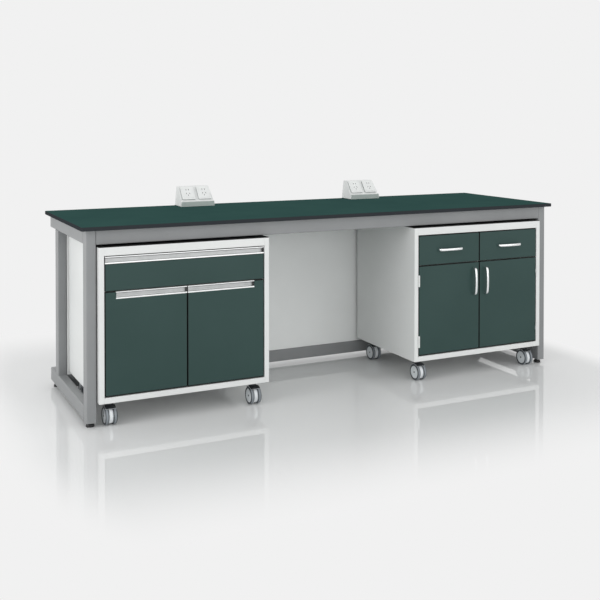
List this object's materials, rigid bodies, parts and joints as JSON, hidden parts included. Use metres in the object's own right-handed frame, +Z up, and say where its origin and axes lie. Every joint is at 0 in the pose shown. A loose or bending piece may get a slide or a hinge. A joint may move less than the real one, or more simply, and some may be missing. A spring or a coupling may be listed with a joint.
{
  "type": "laboratory bench with mobile cabinets",
  "caption": "Steel-framed laboratory bench with a dark green top, sloped socket pods at the rear and rolling cabinets with drawers and doors underneath.",
  "frame": {"origin": "on the floor, under the middle of the whole object", "axes": "+X to the right along the bench, +Y to the rear, +Z up; the cabinets face -Y"},
  "size_m": [2.4, 0.778, 0.9155],
  "materials": {
    "worktop_laminate": "dark green compact laminate, fine matt texture, dark edge",
    "frame_paint": "mid grey powder coat",
    "white_board": "white melamine-faced board",
    "green_board": "dark green melamine-faced board",
    "black_board": "matt black sheet",
    "foot_rubber": "matt black",
    "aluminium": "satin anodised",
    "satin_chrome": "satin",
    "hinge_paint": "white powder coat",
    "pod_plastic": "moulded white plastic",
    "socket_plastic": "smooth white plastic",
    "castor_plastic": "moulded grey plastic",
    "wheel_plastic": "moulded light grey plastic with a darker tread"
  },
  "bodies": {
    "bench": {"worktop": "worktop_laminate", "left_end_frame": "frame_paint", "right_end_frame": "frame_paint", "front_rail": "frame_paint", "rear_top_rail": "frame_paint", "rear_bottom_rail": "frame_paint", "back_panel": "white_board", "left_pod_housing": "pod_plastic", "left_pod_left_socket": "socket_plastic", "left_pod_right_socket": "socket_plastic", "right_pod_housing": "pod_plastic", "right_pod_left_socket": "socket_plastic", "right_pod_right_socket": "socket_plastic"},
    "front_left_foot": {"front_left_foot": "foot_rubber"},
    "front_right_foot": {"front_right_foot": "foot_rubber"},
    "rear_left_foot": {"rear_left_foot": "foot_rubber"},
    "rear_right_foot": {"rear_right_foot": "foot_rubber"},
    "left_cabinet": {"left_cabinet_carcass": "white_board", "left_cabinet_top": "black_board", "left_cabinet_shelf": "white_board"},
    "right_cabinet": {"right_cabinet_carcass": "white_board", "right_cabinet_top": "black_board", "right_cabinet_shelf": "white_board"},
    "left_cabinet_drawer": {"left_cabinet_drawer_box": "white_board", "left_cabinet_drawer_front": "green_board", "left_cabinet_drawer_pull": "aluminium"},
    "left_cabinet_left_door": {"left_cabinet_left_door": "green_board", "left_cabinet_left_door_pull": "aluminium"},
    "left_cabinet_right_door": {"left_cabinet_right_door": "green_board", "left_cabinet_right_door_pull": "aluminium"},
    "right_cabinet_left_drawer": {"right_cabinet_left_drawer_box": "white_board", "right_cabinet_left_drawer_front": "green_board", "right_cabinet_left_drawer_handle": "satin_chrome"},
    "right_cabinet_right_drawer": {"right_cabinet_right_drawer_box": "white_board", "right_cabinet_right_drawer_front": "green_board", "right_cabinet_right_drawer_handle": "satin_chrome"},
    "right_cabinet_left_door": {"right_cabinet_left_door": "green_board", "right_cabinet_left_door_handle": "satin_chrome", "right_cabinet_left_door_lower_hinge": "hinge_paint", "right_cabinet_left_door_upper_hinge": "hinge_paint"},
    "right_cabinet_right_door": {"right_cabinet_right_door": "green_board", "right_cabinet_right_door_handle": "satin_chrome", "right_cabinet_right_door_lower_hinge": "hinge_paint", "right_cabinet_right_door_upper_hinge": "hinge_paint"},
    "left_cabinet_front_left_castor": {"left_cabinet_front_left_castor_fork": "castor_plastic"},
    "left_cabinet_front_left_castor_wheels": {"left_cabinet_front_left_castor_wheels": "wheel_plastic"},
    "left_cabinet_front_right_castor": {"left_cabinet_front_right_castor_fork": "castor_plastic"},
    "left_cabinet_front_right_castor_wheels": {"left_cabinet_front_right_castor_wheels": "wheel_plastic"},
    "left_cabinet_rear_left_castor": {"left_cabinet_rear_left_castor_fork": "castor_plastic"},
    "left_cabinet_rear_left_castor_wheels": {"left_cabinet_rear_left_castor_wheels": "wheel_plastic"},
    "left_cabinet_rear_right_castor": {"left_cabinet_rear_right_castor_fork": "castor_plastic"},
    "left_cabinet_rear_right_castor_wheels": {"left_cabinet_rear_right_castor_wheels": "wheel_plastic"},
    "right_cabinet_front_left_castor": {"right_cabinet_front_left_castor_fork": "castor_plastic"},
    "right_cabinet_front_left_castor_wheels": {"right_cabinet_front_left_castor_wheels": "wheel_plastic"},
    "right_cabinet_front_right_castor": {"right_cabinet_front_right_castor_fork": "castor_plastic"},
    "right_cabinet_front_right_castor_wheels": {"right_cabinet_front_right_castor_wheels": "wheel_plastic"},
    "right_cabinet_rear_left_castor": {"right_cabinet_rear_left_castor_fork": "castor_plastic"},
    "right_cabinet_rear_left_castor_wheels": {"right_cabinet_rear_left_castor_wheels": "wheel_plastic"},
    "right_cabinet_rear_right_castor": {"right_cabinet_rear_right_castor_fork": "castor_plastic"},
    "right_cabinet_rear_right_castor_wheels": {"right_cabinet_rear_right_castor_wheels": "wheel_plastic"}
  },
  "joints": [
    {"name": "front_left_foot_screw", "type": "hinge", "parent": "bench", "child": "front_left_foot", "pos_m": [-1.155, -0.30599, 0.02], "axis": [0, 0, 1], "range_deg": [-720, 720]},
    {"name": "front_right_foot_screw", "type": "hinge", "parent": "bench", "child": "front_right_foot", "pos_m": [1.155, -0.30599, 0.02], "axis": [0, 0, 1], "range_deg": [-720, 720]},
    {"name": "rear_left_foot_screw", "type": "hinge", "parent": "bench", "child": "rear_left_foot", "pos_m": [-1.155, 0.33401, 0.02], "axis": [0, 0, 1], "range_deg": [-720, 720]},
    {"name": "rear_right_foot_screw", "type": "hinge", "parent": "bench", "child": "rear_right_foot", "pos_m": [1.155, 0.33401, 0.02], "axis": [0, 0, 1], "range_deg": [-720, 720]},
    {"name": "left_cabinet_roll_out", "type": "slide", "parent": "bench", "child": "left_cabinet", "axis": [0, -1, 0], "range_m": [0, 0.8]},
    {"name": "right_cabinet_roll_out", "type": "slide", "parent": "bench", "child": "right_cabinet", "axis": [0, -1, 0], "range_m": [0, 0.8]},
    {"name": "left_cabinet_drawer_slide", "type": "slide", "parent": "left_cabinet", "child": "left_cabinet_drawer", "axis": [0, -1, 0], "range_m": [0, 0.36]},
    {"name": "left_cabinet_left_door_hinge", "type": "hinge", "parent": "left_cabinet", "child": "left_cabinet_left_door", "pos_m": [-1.105, -0.36099, 0.34], "axis": [0, 0, -1], "range_deg": [0, 110]},
    {"name": "left_cabinet_right_door_hinge", "type": "hinge", "parent": "left_cabinet", "child": "left_cabinet_right_door", "pos_m": [-0.405, -0.36099, 0.34], "axis": [0, 0, 1], "range_deg": [0, 110]},
    {"name": "right_cabinet_left_drawer_slide", "type": "slide", "parent": "right_cabinet", "child": "right_cabinet_left_drawer", "axis": [0, -1, 0], "range_m": [0, 0.36]},
    {"name": "right_cabinet_right_drawer_slide", "type": "slide", "parent": "right_cabinet", "child": "right_cabinet_right_drawer", "axis": [0, -1, 0], "range_m": [0, 0.36]},
    {"name": "right_cabinet_left_door_hinge", "type": "hinge", "parent": "right_cabinet", "child": "right_cabinet_left_door", "pos_m": [0.39625, -0.36549, 0.34], "axis": [0, 0, -1], "range_deg": [0, 170]},
    {"name": "right_cabinet_right_door_hinge", "type": "hinge", "parent": "right_cabinet", "child": "right_cabinet_right_door", "pos_m": [1.09975, -0.36549, 0.34], "axis": [0, 0, 1], "range_deg": [0, 170]},
    {"name": "left_cabinet_front_left_castor_swivel", "type": "hinge", "parent": "left_cabinet", "child": "left_cabinet_front_left_castor", "pos_m": [-1.076, -0.29699, 0.1], "axis": [0, 0, 1], "continuous": true},
    {"name": "left_cabinet_front_left_castor_wheels_spin", "type": "hinge", "parent": "left_cabinet_front_left_castor", "child": "left_cabinet_front_left_castor_wheels", "pos_m": [-1.076, -0.31099, 0.0375], "axis": [1, 0, 0], "continuous": true},
    {"name": "left_cabinet_front_right_castor_swivel", "type": "hinge", "parent": "left_cabinet", "child": "left_cabinet_front_right_castor", "pos_m": [-0.434, -0.29699, 0.1], "axis": [0, 0, 1], "continuous": true},
    {"name": "left_cabinet_front_right_castor_wheels_spin", "type": "hinge", "parent": "left_cabinet_front_right_castor", "child": "left_cabinet_front_right_castor_wheels", "pos_m": [-0.434, -0.31099, 0.0375], "axis": [1, 0, 0], "continuous": true},
    {"name": "left_cabinet_rear_left_castor_swivel", "type": "hinge", "parent": "left_cabinet", "child": "left_cabinet_rear_left_castor", "pos_m": [-1.076, 0.12501, 0.1], "axis": [0, 0, 1], "continuous": true},
    {"name": "left_cabinet_rear_left_castor_wheels_spin", "type": "hinge", "parent": "left_cabinet_rear_left_castor", "child": "left_cabinet_rear_left_castor_wheels", "pos_m": [-1.076, 0.11101, 0.0375], "axis": [1, 0, 0], "continuous": true},
    {"name": "left_cabinet_rear_right_castor_swivel", "type": "hinge", "parent": "left_cabinet", "child": "left_cabinet_rear_right_castor", "pos_m": [-0.434, 0.12501, 0.1], "axis": [0, 0, 1], "continuous": true},
    {"name": "left_cabinet_rear_right_castor_wheels_spin", "type": "hinge", "parent": "left_cabinet_rear_right_castor", "child": "left_cabinet_rear_right_castor_wheels", "pos_m": [-0.434, 0.11101, 0.0375], "axis": [1, 0, 0], "continuous": true},
    {"name": "right_cabinet_front_left_castor_swivel", "type": "hinge", "parent": "right_cabinet", "child": "right_cabinet_front_left_castor", "pos_m": [0.427, -0.29699, 0.1], "axis": [0, 0, 1], "continuous": true},
    {"name": "right_cabinet_front_left_castor_wheels_spin", "type": "hinge", "parent": "right_cabinet_front_left_castor", "child": "right_cabinet_front_left_castor_wheels", "pos_m": [0.427, -0.31099, 0.0375], "axis": [1, 0, 0], "continuous": true},
    {"name": "right_cabinet_front_right_castor_swivel", "type": "hinge", "parent": "right_cabinet", "child": "right_cabinet_front_right_castor", "pos_m": [1.069, -0.29699, 0.1], "axis": [0, 0, 1], "continuous": true},
    {"name": "right_cabinet_front_right_castor_wheels_spin", "type": "hinge", "parent": "right_cabinet_front_right_castor", "child": "right_cabinet_front_right_castor_wheels", "pos_m": [1.069, -0.31099, 0.0375], "axis": [1, 0, 0], "continuous": true},
    {"name": "right_cabinet_rear_left_castor_swivel", "type": "hinge", "parent": "right_cabinet", "child": "right_cabinet_rear_left_castor", "pos_m": [0.427, 0.12501, 0.1], "axis": [0, 0, 1], "continuous": true},
    {"name": "right_cabinet_rear_left_castor_wheels_spin", "type": "hinge", "parent": "right_cabinet_rear_left_castor", "child": "right_cabinet_rear_left_castor_wheels", "pos_m": [0.427, 0.11101, 0.0375], "axis": [1, 0, 0], "continuous": true},
    {"name": "right_cabinet_rear_right_castor_swivel", "type": "hinge", "parent": "right_cabinet", "child": "right_cabinet_rear_right_castor", "pos_m": [1.069, 0.12501, 0.1], "axis": [0, 0, 1], "continuous": true},
    {"name": "right_cabinet_rear_right_castor_wheels_spin", "type": "hinge", "parent": "right_cabinet_rear_right_castor", "child": "right_cabinet_rear_right_castor_wheels", "pos_m": [1.069, 0.11101, 0.0375], "axis": [1, 0, 0], "continuous": true}
  ]
}
